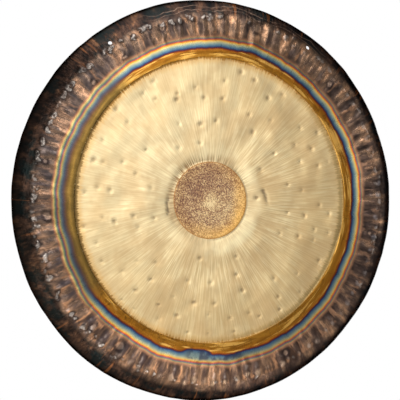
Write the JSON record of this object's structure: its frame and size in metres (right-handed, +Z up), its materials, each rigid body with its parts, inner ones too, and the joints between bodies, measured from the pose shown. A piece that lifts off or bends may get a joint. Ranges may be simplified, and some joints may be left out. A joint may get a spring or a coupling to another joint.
{
  "type": "tam-tam gong",
  "caption": "Round bronze tam-tam gong with a lathed face, a heat-tinted ring, a hammered shoulder, a turned-back rim and bare hanging holes.",
  "frame": {"origin": "middle of the straight line between the centres of the two hanging holes, where the gong is held up", "axes": "+Z up as the gong hangs, -Y out of the struck face, +Y out of the hollow back, +X to the right for someone who faces the gong"},
  "size_m": [0.81, 0.0512, 0.81],
  "materials": {
    "bronze": "tin bronze: satin, radially lathed pale gold face, heat-tinted ring, hammered copper-brown shoulder, blackened rim and back"
  },
  "bodies": {
    "root": {"gong_plate": "bronze"}
  },
  "joints": []
}
